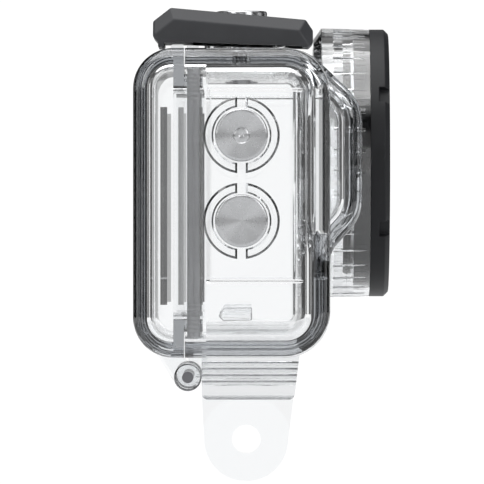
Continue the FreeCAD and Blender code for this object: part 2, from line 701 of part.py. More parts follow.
def build_front_housing():
    solids = [shell_outside()] + mount_fingers() + fixed_knuckles()
    room = cylinder("port_room", "y", lens_place("ring_front"), "barrel_radius + port_gap",
                    "barrel_rear + port_gap - ring_front")
    solids.append(cut("cheek_trimmed", cheek_outside(), [room]))
    solids += arm_ears()
    for button in BUTTONS:
        solids += button_boss(button)
    outside = union("housing_outside", solids)
    mouth = cylinder("port_mouth", "y", lens_place("front_face - 1"), "barrel_bore",
                     "front_wall + 2")
    hollowed = cut("housing_hollow", outside, cavity() + [mouth, cheek_inside()])
    guides = [button_disc(b["name"] + "_sleeve", b, "inner_boss", "side_wall / 2", b["bore_end"])
              for b in BUTTONS if b["direction"] == "x"]
    fitted = union("housing_fitted", [hollowed] + guides + wall_ribs())
    tools = finger_cuts()
    tools += side_facets("lead", "half_width - side_wall",
                         [("lead_deep", "lead_shallow", "lead_depth")], "rib_low", "rib_high")
    for button in BUTTONS:
        tools += button_wells(button)
    tools.append(cylinder("hinge_bore", "x", ("0 - fixed_outer - 1", "hinge_y", "hinge_z"),
                          "hinge_pin", "2 * fixed_outer + 2"))
    tools.append(cylinder("arm_bore", "x", ("latch_near", "arm_pivot_y", "arm_pivot_z"),
                          "latch_pin", "latch_far - latch_near"))
    sub_part(cut("housing_body", fitted, tools), "front_housing")


# ---------------------------------------------------------------- lens
def build_lens():
    sub_part(turned("lens_window_body", [
        ("window_front", "0"),
        ("window_front", "window_radius - 0.3"),
        ("window_front + 0.3", "window_radius"),
        ("window_rear", "window_radius"),
        ("window_rear", "0"),
    ], "y", lens_place("0")), "lens_window")
    sub_part(torus("lens_seal_body", "y", lens_place("window_rear + lens_seal_wire"),
                   "lens_seal_radius", "lens_seal_wire"), "lens_window_seal")
    ring = turned("lens_ring_body", [
        ("ring_rear", "barrel_front_radius"),
        ("ring_front + ring_bevel", "barrel_front_radius"),
        ("ring_front", "barrel_front_radius - ring_bevel"),
        ("ring_front", "ring_bore + 1.4"),
        ("window_front - 0.6", "ring_bore"),
        ("window_front", "ring_bore"),
        ("window_front", "window_radius + 0.1"),
        ("collar_rear", "window_radius + 0.1"),
        ("collar_rear", "collar_radius"),
        ("ring_rear", "collar_radius"),
    ], "y", lens_place("0"))
    notches = []
    for side in (1, -1):
        for rise in (1, -1):
            name = "ring_notch_%s_%s" % ("right" if side > 0 else "left",
                                         "up" if rise > 0 else "down")
            notch = add("Part::Box", name)
            reach = value("notch_reach")
            outer = value("barrel_front_radius")
            bind(notch, "Height", "notch_height")
            bind(notch, "Width", "notch_depth + 1")
            notch.Length = reach + 1
            angle = value("notch_angle") * rise
            if side < 0:
                angle = 180 - angle
            turn = Rotation(Vector(0, -1, 0), angle)
            corner = Vector(outer - reach, value("ring_front") - 1, -value("notch_height") / 2)
            centre = Vector(value("lens_across"), 0, value("lens_height"))
            notch.Placement = Placement(centre + turn.multVec(corner), turn)
            notches.append(notch)
    sub_part(cut("lens_ring_cut", ring, notches), "lens_ring")


# ---------------------------------------------------------------- door
def door_block(name, low, high, radius, loop):
    """A block whose rear edges and side loops are rounded."""
    block = box(name + "_block", low, high)
    rear = value(high[1])
    first = rounded(name + "_tail", block, radius,
                    lambda edge: along(edge, "x") and near(edge.BoundBox.YMin, rear))
    half = value(high[0])
    front = value(low[1])
    return rounded(name + "_loops", first, loop,
                   lambda edge: near(abs(edge.CenterOfMass.x), half)
                   and not near(edge.BoundBox.YMax, front))


def build_door():
    face = "split_plane + split_gap / 2"
    shell = door_block("door_shell", ("0 - half_width", face, "shell_bottom"),
                       ("half_width", "door_face", "shell_top"), "rear_radius", "loop_radius")
    plug = frame_block("door_plug", "seal_gap + gasket", "plug_front", "split_plane + 2")
    inset = "seal_gap + gasket + plug_wall"
    throat = frame_block("door_throat", inset, "plug_front - 1", "flange_rear + 0.5")
    room = door_block("door_room", ("side_wall - half_width", "flange_rear",
                                    "shell_bottom + wall"),
                      ("half_width - side_wall", "door_face - door_window", "shell_top - wall"),
                      "door_radius", "cavity_loop")
    points = [
        ("ear_rear", "ear_top"),
        ("hinge_y + knuckle * 0.83", "hinge_z - knuckle * 0.56"),
        ("hinge_y", "hinge_z"),
        (face, "shell_bottom - web_step"),
        (face, "ear_top"),
    ]
    ears = knuckle_web("swing_knuckle_left", points, "0 - swing_outer",
                       "0 - fixed_outer - knuckle_gap")
    ears += knuckle_web("swing_knuckle_right", points, "fixed_outer + knuckle_gap", "swing_outer")
    keeper = box("door_keeper_block", ("latch_near + latch_wall", "keeper_front", "shell_top - 1"),
                 ("latch_far - latch_wall", "keeper_rear", "keeper_top"))
    top = value("keeper_top")
    rear = value("keeper_rear")
    keeper = rounded("door_keeper", keeper, "lip_bevel",
                     lambda edge: near(edge.BoundBox.ZMin, top)
                     and near(edge.BoundBox.YMin, rear), "Part::Chamfer")
    solid = union("door_solid", [shell, plug, keeper] + ears)
    bore = cylinder("door_hinge_bore", "x", ("0 - swing_outer - 1", "hinge_y", "hinge_z"),
                    "hinge_pin + hinge_fit", "2 * swing_outer + 2")
    facets = side_facets("room_facet", "half_width - side_wall", [
        ("facet_one_deep", "facet_one_shallow", "facet_one_depth"),
    ], "facet_low", "facet_high")
    facets += side_facets("throat_facet", "half_width - side_wall - ( %s )" % inset, [
        ("facet_two_deep", "facet_two_shallow", "facet_two_depth"),
        ("plug_front", "plug_front + facet_lead", "facet_lead * 0.6"),
    ], "facet_low", "facet_high")
    sub_part(cut("door_body", solid, [throat, room, bore] + facets), "back_door")
    outer = frame_block("gasket_outer", "seal_gap", "gasket_front", "gasket_rear")
    hole = frame_block("gasket_inner", "seal_gap + gasket", "gasket_front - 1", "gasket_rear + 1")
    sub_part(cut("gasket_body", outer, [hole]), "door_gasket")
    sub_part(cylinder("hinge_pin_body", "x", ("0 - hinge_half", "hinge_y", "hinge_z"),
                      "hinge_pin", "2 * hinge_half"), "hinge_pin")


# ---------------------------------------------------------------- latch
LEVER_PROFILE = [
    ("crown_rear", "crown_rear_top"), ("lever_tail", "tail_top"), ("lever_tail", "tail_foot"),
    ("lip_rear", "lip_root"), ("lip_rear", "lip_bottom"), ("lip_front + lip_bevel", "lip_bottom"),
    ("lip_front", "lip_bottom + lip_bevel"), ("lip_front", "lip_root"), ("heel", "lip_root"),
    ("nose + nose_bevel", "nose_foot"), ("nose", "nose_foot + nose_bevel"), ("nose", "nose_top"),
    ("crown_front", "crown_front_top"),
]


def build_latch():
    middle = "( latch_near + latch_far ) / 2"
    lever = prism("lever_block", LEVER_PROFILE, "latch_near", "latch_far")
    sides = (value("latch_near"), value("latch_far"))

    def crown(edge):
        """An edge of the lever's top, on either side."""
        on_side = any(near(edge.BoundBox.XMax, x) and near(edge.BoundBox.XMin, x) for x in sides)
        return on_side and edge.BoundBox.ZMin > value("nose_top") - 0.1

    beveled = rounded("lever_beveled", lever, "latch_bevel", crown, "Part::Chamfer")
    lowest = value("tail_foot - 0.4")
    softened = rounded("lever_softened", beveled, "latch_round",
                       lambda edge: edge.CenterOfMass.z > lowest)
    pocket = prism("lever_pocket", [
        ("pocket_front", "lip_bottom - 1"), ("pocket_front", "pocket_front_top"),
        ("pocket_rear", "pocket_rear_top"), ("pocket_rear", "lip_bottom - 1"),
    ], "latch_near + latch_wall", "latch_far - latch_wall")
    bore = cylinder("lever_bore", "x", ("latch_near + pin_wall", "lever_pivot_y",
                                        "lever_pivot_z"),
                    "latch_pin + latch_fit", "latch_far - latch_near - 2 * pin_wall")
    sub_part(cut("lever_body", softened, [pocket, bore]), "latch_lever")

    arm_width = "latch_far - latch_near - 2 * latch_wall - 2 * latch_gap"
    start_wide = middle + " - ( %s ) / 2" % arm_width
    start_narrow = middle + " - arm_half"
    thick = "eye * 0.72"
    plate = prism("arm_plate", [
        ("arm_pivot_y", "arm_pivot_z - %s" % thick), ("lever_pivot_y", "lever_pivot_z - %s" % thick),
        ("lever_pivot_y", "lever_pivot_z + %s" % thick), ("arm_pivot_y", "arm_pivot_z + %s" % thick),
    ], start_narrow, start_narrow + " + 2 * arm_half")
    wing = prism("arm_wing", [
        ("wing_front", "lever_pivot_z - wing_drop"),
        ("lever_pivot_y", "lever_pivot_z - %s" % thick),
        ("lever_pivot_y", "lever_pivot_z + %s" % thick),
        ("wing_front", "lever_pivot_z + wing_rise"),
    ], start_wide, start_wide + " + %s" % arm_width)
    first = cylinder("arm_first_eye", "x", (start_narrow, "arm_pivot_y", "arm_pivot_z"), "eye",
                     "2 * arm_half")
    second = cylinder("arm_second_eye", "x", (start_wide, "lever_pivot_y", "lever_pivot_z"),
                      "eye", arm_width)
    solid = union("arm_solid", [plate, wing, first, second])
    free = cylinder("arm_free_bore", "x", ("latch_near", "arm_pivot_y", "arm_pivot_z"),
                    "latch_pin + latch_fit", "latch_far - latch_near")
    tight = cylinder("arm_tight_bore", "x", ("latch_near", "lever_pivot_y", "lever_pivot_z"),
                     "latch_pin", "latch_far - latch_near")
    sub_part(cut("arm_body", solid, [free, tight]), "latch_arm")
    ear = "arm_half + latch_gap + ear_width"
    sub_part(cylinder("arm_pin_body", "x", (middle + " - ( %s )" % ear, "arm_pivot_y",
                                            "arm_pivot_z"), "latch_pin", "2 * ( %s )" % ear),
             "latch_arm_pin")
    end = "pin_wall + 0.2"
    sub_part(cylinder("lever_pin_body", "x", ("latch_near + " + end, "lever_pivot_y",
                                              "lever_pivot_z"), "latch_pin",
                      "latch_far - latch_near - 2 * ( %s )" % end), "latch_lever_pin")


def build_locators():
    """Two pads, one on each side wall, that centre the camera."""
    inner = "half_width - side_wall"
    pads = []
    for side in ("near", "far"):
        low = "0 - ( %s )" % inner if side == "near" else inner + " - locator_depth"
        high = "locator_depth - ( %s )" % inner if side == "near" else inner
        block = box("locator_" + side, (low, "locator_front", "locator_low"),
                    (high, "locator_rear", "locator_high"))
        pads.append(rounded("locator_%s_rounded" % side, block, "0.5",
                            lambda edge: along(edge, "x")))
    group = add("Part::Compound", "locator_group")
    group.Links = pads
    sub_part(group, "camera_locators")


build_front_housing()
build_lens_port()
build_lens()
build_door()
build_latch()
build_locators()
for button in BUTTONS:
    build_button(button)
doc.recompute()

for item in doc.Objects:
    if "Invalid" in item.State or "Error" in item.State:
        raise RuntimeError("%s did not recompute: %s" % (item.Name, item.State))
for label, item in SUB_PARTS.items():
    if item.Shape.isNull() or not item.Shape.isValid():
        raise RuntimeError("%s has no valid shape" % label)
    item.Shape.exportStep(os.path.join("parts", label + ".step"))
    print("%-28s %10.1f mm3  %d solid(s)" % (label, item.Shape.Volume, len(item.Shape.Solids)))
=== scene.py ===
import math

import bmesh
import bpy
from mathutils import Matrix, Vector


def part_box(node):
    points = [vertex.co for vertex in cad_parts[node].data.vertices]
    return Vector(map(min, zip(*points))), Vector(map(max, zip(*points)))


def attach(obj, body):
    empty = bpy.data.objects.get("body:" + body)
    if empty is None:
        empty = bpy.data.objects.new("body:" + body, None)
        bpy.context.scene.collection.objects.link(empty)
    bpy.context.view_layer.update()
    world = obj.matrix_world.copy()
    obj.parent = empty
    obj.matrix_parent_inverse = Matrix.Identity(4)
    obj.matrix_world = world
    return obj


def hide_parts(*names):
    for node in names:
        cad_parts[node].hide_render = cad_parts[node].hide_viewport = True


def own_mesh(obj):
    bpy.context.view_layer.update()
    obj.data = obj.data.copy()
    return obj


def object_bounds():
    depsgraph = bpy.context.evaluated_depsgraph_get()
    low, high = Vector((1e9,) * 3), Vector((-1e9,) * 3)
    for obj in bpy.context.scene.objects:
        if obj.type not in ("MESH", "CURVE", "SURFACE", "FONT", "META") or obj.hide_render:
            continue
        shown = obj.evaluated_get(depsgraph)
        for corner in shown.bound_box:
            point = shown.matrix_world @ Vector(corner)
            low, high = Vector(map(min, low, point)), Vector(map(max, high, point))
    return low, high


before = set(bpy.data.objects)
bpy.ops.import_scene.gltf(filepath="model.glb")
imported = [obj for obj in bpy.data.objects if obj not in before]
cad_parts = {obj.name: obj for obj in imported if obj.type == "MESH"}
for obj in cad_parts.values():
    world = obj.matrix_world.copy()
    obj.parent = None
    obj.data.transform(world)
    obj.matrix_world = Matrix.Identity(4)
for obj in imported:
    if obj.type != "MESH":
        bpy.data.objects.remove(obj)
cad_box = [list(corner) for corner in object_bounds()]
MM = 0.001

BUTTONS = {
    "upper_side_button": "upper_button_press",
    "lower_side_button": "lower_button_press",
    "shutter_button": "shutter_press",
}
TOP_BUTTON = "shutter_button"


# ---------------------------------------------------------------- materials
def new_material(name, color, roughness, metallic=0.0, **sockets):
    """A Principled material whose uniform values sit on the shader's own sockets."""
    made = bpy.data.materials.new(name)
    made.use_nodes = True
    shader = made.node_tree.nodes["Principled BSDF"]
    shader.inputs["Base Color"].default_value = (*color, 1.0)
    shader.inputs["Roughness"].default_value = roughness
    shader.inputs["Metallic"].default_value = metallic
    for socket, number in sockets.items():
        shader.inputs[socket.replace("_", " ")].default_value = number
    return made


def link(made, source, output, target, socket):
    made.node_tree.links.new(source.outputs[output], target.inputs[socket])


def node(made, kind, **settings):
    item = made.node_tree.nodes.new(kind)
    for key, setting in settings.items():
        if key in item.inputs:
            item.inputs[key].default_value = setting
        else:
            setattr(item, key, setting)
    return item


def texture_space(made, stretch=(1, 1, 1)):
    """Object coordinates in metres, stretched along the axes."""
    place = node(made, "ShaderNodeTexCoord")
    mapping = node(made, "ShaderNodeMapping")
    mapping.inputs["Scale"].default_value = stretch
    link(made, place, "Object", mapping, "Vector")
    return mapping


def add_bump(made, height, output, strength, distance):
    """Adds a height to the material's bump, on top of any bump it has."""
    shader = made.node_tree.nodes["Principled BSDF"]
    bump = node(made, "ShaderNodeBump")
    bump.inputs["Strength"].default_value = strength
    bump.inputs["Distance"].default_value = distance
    if shader.inputs["Normal"].is_linked:
        earlier = shader.inputs["Normal"].links[0].from_socket
        made.node_tree.links.new(earlier, bump.inputs["Normal"])
    link(made, height, output, bump, "Height")
    link(made, bump, "Normal", shader, "Normal")
    return bump


def vary_roughness(made, texture, output, low, high):
    ramp = node(made, "ShaderNodeMapRange")
    ramp.inputs["To Min"].default_value = low
    ramp.inputs["To Max"].default_value = high
    link(made, texture, output, ramp, "Value")
    link(made, ramp, "Result", made.node_tree.nodes["Principled BSDF"], "Roughness")


def noise(made, space, scale, detail=3.0):
    item = node(made, "ShaderNodeTexNoise")
    item.inputs["Scale"].default_value = scale
    item.inputs["Detail"].default_value = detail
    link(made, space, "Vector", item, "Vector")
    return item


def vary_color(made, texture, output, dark, light):
    """Blends two close colours by a texture."""
    ramp = node(made, "ShaderNodeValToRGB")
    ramp.color_ramp.elements[0].color = (*dark, 1.0)
    ramp.color_ramp.elements[1].color = (*light, 1.0)
    ramp.color_ramp.elements[0].position = 0.3
    ramp.color_ramp.elements[1].position = 0.7
    link(made, texture, output, ramp, "Fac")
    link(made, ramp, "Color", made.node_tree.nodes["Principled BSDF"], "Base Color")


def clear_plastic(name, tint, ior, ripple, smoke):
    """Polished clear moulding: faint flow ripple, fine handling marks, grey where it is deep."""
    made = new_material(name, tint, 0.0, Transmission_Weight=1.0, IOR=ior)
    depth = node(made, "ShaderNodeVolumeAbsorption")
    depth.inputs["Color"].default_value = (0.0, 0.03, 0.07, 1.0)
    depth.inputs["Density"].default_value = smoke
    link(made, depth, "Volume", made.node_tree.nodes["Material Output"], "Volume")
    space = texture_space(made)
    flow = noise(made, space, 55.0, 1.0)
    add_bump(made, flow, "Fac", ripple, 0.0004)
    marks = noise(made, space, 900.0, 2.0)
    vary_roughness(made, marks, "Fac", 0.0, 0.035)
    return made


def moulded_plastic(name, dark, light, low, high, grain, specular):
    """Matte moulded plastic: spark-eroded grain and slight polish by handling."""
    made = new_material(name, light, (low + high) / 2, Specular_IOR_Level=specular)
    space = texture_space(made)
    fine = noise(made, space, 4200.0, 2.0)
    add_bump(made, fine, "Fac", grain, 0.00006)
    broad = noise(made, space, 160.0, 3.0)
    vary_color(made, broad, "Fac", dark, light)
    vary_roughness(made, broad, "Fac", low, high)
    return made


def brushed_metal(name, color, axis, roughness, anisotropy):
    """Metal turned on a lathe: highlights fan out from the axis."""
    made = new_material(name, color, roughness, metallic=1.0, Anisotropic=anisotropy,
                        Anisotropic_Rotation=0.25)
    tangent = node(made, "ShaderNodeTangent", direction_type="RADIAL", axis=axis)
    shader = made.node_tree.nodes["Principled BSDF"]
    link(made, tangent, "Tangent", shader, "Tangent")
    space = texture_space(made)
    streaks = noise(made, space, 2600.0, 2.0)
    vary_roughness(made, streaks, "Fac", roughness * 0.8, roughness * 1.25)
    return made


def plain_metal(name, color, roughness, along):
    made = new_material(name, color, roughness, metallic=1.0)
    space = texture_space(made, along)
    streaks = noise(made, space, 1500.0, 2.0)
    vary_roughness(made, streaks, "Fac", roughness * 0.7, roughness * 1.3)
    add_bump(made, streaks, "Fac", 0.15, 0.00003)
    return made


def silicone(name, color, transmission, roughness):
    made = new_material(name, color, roughness, Transmission_Weight=transmission, IOR=1.41)
    space = texture_space(made)
    cloud = noise(made, space, 700.0, 2.0)
    add_bump(made, cloud, "Fac", 0.1, 0.0001)
    vary_roughness(made, cloud, "Fac", roughness * 0.8, roughness * 1.2)
    return made


SHELL = clear_plastic("clear_polycarbonate", (0.985, 0.99, 0.993), 1.56, 0.03, 16.0)
PANE = clear_plastic("lens_pane_glass", (0.99, 0.995, 0.998), 1.52, 0.0, 6.0)
RING = moulded_plastic("black_ring_plastic", (0.0085, 0.009, 0.0102), (0.012, 0.0125, 0.014),
                       0.4, 0.52, 0.12, 0.18)
LEVER = moulded_plastic("grey_lever_plastic", (0.020, 0.0208, 0.0232), (0.025, 0.0258, 0.0285),
                        0.42, 0.55, 0.2, 0.3)
GASKET = silicone("grey_silicone", (0.37, 0.375, 0.39), 0.0, 0.4)
SEAL = silicone("black_silicone", (0.03, 0.03, 0.03), 0.0, 0.5)
LOCATOR = silicone("smoked_clear_pad", (0.93, 0.935, 0.945), 1.0, 0.06)
TIP = silicone("pale_silicone", (0.5, 0.505, 0.515), 0.0, 0.45)
PIN = plain_metal("dark_pin_steel", (0.16, 0.16, 0.17), 0.3, (1, 0.1, 0.1))
WIRE = plain_metal("spring_wire_steel", (0.62, 0.62, 0.63), 0.25, (1, 1, 1))
CAP_X = brushed_metal("side_cap_aluminium", (0.46, 0.465, 0.475), "X", 0.28, 0.85)
CAP_Z = brushed_metal("top_cap_aluminium", (0.46, 0.465, 0.475), "Z", 0.28, 0.85)

FINISHES = {
    "front_housing": SHELL, "lens_port": SHELL, "back_door": SHELL, "latch_arm": SHELL,
    "lens_window": PANE, "lens_window_seal": SEAL, "lens_ring": RING, "hinge_pin": PIN,
    "latch_arm_pin": PIN, "latch_lever_pin": PIN, "latch_lever": LEVER,
}
SOFTENED = {"lens_ring": 0.18, "hinge_pin": 0.15, "latch_arm_pin": 0.12, "latch_lever_pin": 0.12}
for button in BUTTONS:
    FINISHES[button + "_seal"] = SEAL
    FINISHES[button + "_clip"] = PIN
    FINISHES[button + "_tip"] = TIP
    SOFTENED[button + "_clip"] = 0.08


def soften(item, width):
    """Breaks the sharp edges of a CAD piece with a small round, in millimetres."""
    weld = item.modifiers.new("weld", "WELD")
    weld.merge_threshold = 1e-6
    bevel = item.modifiers.new("edge_break", "BEVEL")
    bevel.width = width * MM
    bevel.segments = 3
    bevel.limit_method = "ANGLE"
    bevel.angle_limit = math.radians(28)
    shading = item.modifiers.new("shading", "WEIGHTED_NORMAL")
    shading.keep_sharp = True


def finish_nodes():
    for name, material in FINISHES.items():
        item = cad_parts[name]
        item.data.materials.clear()
        item.data.materials.append(material)
    for name, width in SOFTENED.items():
        soften(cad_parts[name], width)


# ---------------------------------------------------------------- mesh helpers
def make_object(name, points, faces, material, crease=30):
    """A closed mesh whose faces all look outwards, smooth except at its creases."""
    mesh = bpy.data.meshes.new(name)
    mesh.from_pydata(points, [], faces)
    shape = bmesh.new()
    shape.from_mesh(mesh)
    bmesh.ops.recalc_face_normals(shape, faces=shape.faces)
    shape.to_mesh(mesh)
    shape.free()
    mesh.shade_smooth()
    mesh.set_sharp_from_angle(angle=math.radians(crease))
    mesh.materials.append(material)
    made = bpy.data.objects.new(name, mesh)
    bpy.context.scene.collection.objects.link(made)
    return made


def ring_faces(rings):
    """Faces between neighbouring rings of point numbers; a ring of one point is a pole."""
    faces = []
    for first, second in zip(rings, rings[1:]):
        count = max(len(first), len(second))
        for i in range(count):
            j = (i + 1) % count
            corners = (first[i % len(first)], second[i % len(second)],
                       second[j % len(second)], first[j % len(first)])
            faces.append(tuple(dict.fromkeys(corners)))
    return faces


def lathe(name, profile, start, inward, material, segments=96):
    """Turns (depth, radius) pairs, in millimetres, about the line from start along inward."""
    across = Vector((0, 1, 0))
    up = inward.cross(across)
    points = []
    rings = []
    for depth, radius in profile:
        here = start + inward * depth * MM
        count = segments if radius > 0 else 1
        rings.append(range(len(points), len(points) + count))
        for i in range(count):
            angle = 2 * math.pi * i / segments
            reach = (across * math.cos(angle) + up * math.sin(angle)) * radius * MM
            points.append(here + reach)
    return make_object(name, points, ring_faces(rings), material)


def tube(name, path, sides, radius, material):
    """A round wire along (point, outward, side) stations, closed at both ends."""
    points = [path[0][0]]
    rings = [[0]]
    for point, outward, side in path:
        rings.append(range(len(points), len(points) + sides))
        for i in range(sides):
            angle = 2 * math.pi * i / sides
            points.append(point + (outward * math.cos(angle) + side * math.sin(angle)) * radius)
    rings.append([len(points)])
    points.append(path[-1][0])
    return make_object(name, points, ring_faces(rings), material, 60)


# ---------------------------------------------------------------- push buttons
# The turned cap and its shaft, in millimetres: radii, and depths below the cap's rim.
CAP = {"radius": 4.6, "rim": 4.1, "dish": 0.16, "bevel": 0.35,
       "skirt": 2.3, "recess": 1.0, "recess_radius": 3.2, "shaft": 1.6, "seal_groove": 0.9,
       "clip_groove": 1.15, "travel": 1.5}
RIM_STEPS = 4
RIM_LEDGE = 0.02
EDGE_BREAK = 0.08
SHAFT_BREAK = 0.1
RIDGE_STEP = 0.15
RIDGE_HEIGHT = 0.005
# The plain mark on the upper side cap: a dot and a ring, pressed in.
MARK = {"dot": 0.4, "ring_inner": 1.1, "ring_outer": 1.4, "depth": 0.09}
SPRING = {"wire": 0.22, "turns": 5, "steps": 24, "sides": 10}


def button_line(button):
    """The cap's outermost point on the button's axis, and the direction it is pressed in."""
    low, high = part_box(button + "_cap")
    centre = (low + high) / 2
    if button == TOP_BUTTON:
        return Vector((centre.x, centre.y, high.z)), Vector((0, 0, -1))
    return Vector((low.x, centre.y, centre.z)), Vector((1, 0, 0))


def depths(node_name, start, inward):
    """How far below start a node begins and ends, in millimetres."""
    ends = [(corner - start).dot(inward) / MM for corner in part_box(node_name)]
    return min(ends), max(ends)


def dished_face(marked):
    """The turned top of a cap: a shallow dish with fine ridges, and a plain ring if marked."""
    profile = []
    steps = int(CAP["rim"] / RIDGE_STEP)
    for i in range(steps):
        radius = i * RIDGE_STEP
        depth = CAP["dish"] * (1 - (radius / CAP["rim"]) ** 2)
        depth += RIDGE_HEIGHT if i % 2 else -RIDGE_HEIGHT
        if marked and (radius < MARK["dot"] or MARK["ring_inner"] < radius < MARK["ring_outer"]):
            depth += MARK["depth"]
        profile.append((depth, radius))
    return profile


def build_cap(button):
    start, inward = button_line(button)
    seal = depths(button + "_seal", start, inward)
    clip = depths(button + "_clip", start, inward)
    end = depths(button + "_cap", start, inward)[1]
    radius = CAP["radius"]
    profile = dished_face(button == "upper_side_button")
    profile += [(0.0, CAP["rim"]), (0.0, radius - CAP["bevel"] - EDGE_BREAK)]
    for i in range(RIM_STEPS + 1):
        angle = math.radians(90 * i / RIM_STEPS)
        profile.append((CAP["bevel"] * (1 - math.cos(angle)) + RIM_LEDGE,
                        radius - CAP["bevel"] + CAP["bevel"] * math.sin(angle)))
    profile += [
        (CAP["skirt"] - EDGE_BREAK, radius), (CAP["skirt"], radius - EDGE_BREAK),
        (CAP["skirt"], CAP["recess_radius"] + 0.05), (CAP["recess"], CAP["recess_radius"]),
        (CAP["recess"], CAP["shaft"] + SHAFT_BREAK), (CAP["recess"] + SHAFT_BREAK, CAP["shaft"]),
        (seal[0], CAP["shaft"]), (seal[0], CAP["seal_groove"]),
        (seal[1], CAP["seal_groove"]), (seal[1], CAP["shaft"]),
        (clip[0], CAP["shaft"]), (clip[0], CAP["clip_groove"]),
        (clip[1], CAP["clip_groove"]), (clip[1], CAP["shaft"]),
        (end - SHAFT_BREAK, CAP["shaft"]), (end, CAP["shaft"] - SHAFT_BREAK), (end, 0.0),
    ]
    material = CAP_Z if button == TOP_BUTTON else CAP_X
    cap = lathe(button + "_turned_cap", profile, start, inward, material)
    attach(cap, button)
    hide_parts(button + "_cap")


def build_spring(button):
    """A compression spring between the cap and the well's floor."""
    start, inward = button_line(button)
    across = Vector((0, 1, 0))
    up = inward.cross(across)
    near, far = depths(button + "_spring", start, inward)
    wire = SPRING["wire"]
    low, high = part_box(button + "_spring")
    radius = (high.y - low.y) / 2 / MM - wire
    turns = SPRING["turns"]
    steps = turns * SPRING["steps"]
    path = []
    for i in range(steps + 1):
        share = i / steps
        angle = 2 * math.pi * turns * share
        outward = across * math.cos(angle) + up * math.sin(angle)
        depth = near + wire + (far - near - 2 * wire) * share
        path.append((start + (inward * depth + outward * radius) * MM, outward, inward))
    spring = tube(button + "_wound_spring", path, SPRING["sides"], wire * MM, WIRE)
    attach(spring, "housing")
    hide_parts(button + "_spring")
    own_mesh(spring)


# ---------------------------------------------------------------- door gasket
# The lip section as (outward, along the door's axis) in millimetres, from the groove's floor.
GASKET_SECTION = [(0.03, 0.0), (0.03, 2.2), (1.2, 2.2), (1.45, 2.05), (1.57, 1.75), (1.45, 1.42),
                  (1.26, 1.1), (1.45, 0.78), (1.57, 0.45), (1.45, 0.15), (1.2, 0.0)]
GASKET_VALLEY = 6
GASKET_THICK = 1.6
GASKET_CORNER = 1.5
GASKET_STEP = 0.125
CORNER_STEPS = 6
# The rungs across the lips, beyond a height zone that has none.
RUNG_PITCH = 0.75
RUNG_RISE = 0.3
LIP_DROP = 0.12
SMOOTH_ZONE = (24.4, 59.8)


def gasket_path(half_wide, half_tall, centre, corner):
    """(place, outward direction) around a rounded rectangle, finely stepped down both sides."""
    path = []
    straight = half_tall - corner
    count = int(2 * straight / MM / GASKET_STEP)
    for quarter in range(4):
        side_x = 1 if quarter in (0, 3) else -1
        side_z = 1 if quarter in (0, 1) else -1
        hub = centre + Vector((side_x * (half_wide - corner), 0, side_z * (half_tall - corner)))
        first = 90 * quarter
        for i in range(CORNER_STEPS + 1):
            angle = math.radians(first + 90 * i / CORNER_STEPS)
            outward = Vector((math.cos(angle), 0, math.sin(angle)))
            path.append((hub + outward * corner, outward))
        if quarter in (1, 3):
            outward = Vector((side_x, 0, 0))
            for i in range(1, count):
                down = side_z * (straight - 2 * straight * i / count)
                edge = Vector((side_x * half_wide, 0, down))
                path.append((centre + edge, outward))
    return path


def build_gasket():
    low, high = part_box("door_gasket")
    centre = (low + high) / 2
    path = gasket_path((high.x - low.x) / 2, (high.z - low.z) / 2, centre, GASKET_CORNER * MM)
    points = []
    rings = []
    for place, outward in path:
        height = place.z / MM
        rungs = abs(outward.x) > 0.99 and not SMOOTH_ZONE[0] < height < SMOOTH_ZONE[1]
        wave = 0.5 + 0.5 * math.cos(2 * math.pi * height / RUNG_PITCH) if rungs else 0.0
        rings.append(range(len(points), len(points) + len(GASKET_SECTION)))
        for number, (rise, along) in enumerate(GASKET_SECTION):
            if number == GASKET_VALLEY:
                rise += RUNG_RISE * wave
            elif rise > 1 and rungs:
                rise -= LIP_DROP * (1 - wave)
            spot = place + outward * (rise - GASKET_THICK) * MM
            points.append(Vector((spot.x, low.y + along * MM, spot.z)))
    rings.append(rings[0])
    gasket = make_object("lipped_door_gasket", points, ring_faces(rings), GASKET, 50)
    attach(gasket, "door")
    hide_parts("door_gasket")


# ---------------------------------------------------------------- camera locators
# A locator's outline as (Y, Z) in millimetres from its box's front lower corner.
LOCATOR_OUTLINE = [(5.88, 0.9), (4.85, 2.38), (0.02, 2.38), (0.02, 0.1), (5.05, 0.02)]
LOCATOR_DEPTH = 1.4
LOCATOR_GAP = 0.02
LOCATOR_ROUND = 0.22


def build_locators():
    """Two clear pads with a pointed rear end, one on each side wall."""
    low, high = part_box("camera_locators")
    depth = LOCATOR_DEPTH * MM
    gap = LOCATOR_GAP * MM
    pads = bmesh.new()
    for start in (low.x + gap, high.x - depth):
        outline = [pads.verts.new((start, low.y + y * MM, low.z + z * MM))
                   for y, z in LOCATOR_OUTLINE]
        face = pads.faces.new(outline)
        moved = bmesh.ops.extrude_face_region(pads, geom=[face])
        corners = [item for item in moved["geom"] if isinstance(item, bmesh.types.BMVert)]
        bmesh.ops.translate(pads, verts=corners, vec=(depth - gap, 0, 0))
    bmesh.ops.bevel(pads, geom=pads.edges[:], offset=LOCATOR_ROUND * MM, segments=3,
                    affect="EDGES", profile=0.5)
    points = [corner.co.copy() for corner in pads.verts]
    faces = [[corner.index for corner in face.verts] for face in pads.faces]
    pads.free()
    locators = make_object("clear_camera_locators", points, faces, LOCATOR)
    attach(locators, "housing")
    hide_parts("camera_locators")


# ---------------------------------------------------------------- stage
CAMERA_DISTANCE = 1.4
VIEW_WIDTH = 0.08643
VIEW_CENTRE = (0.00075, 0.03514)


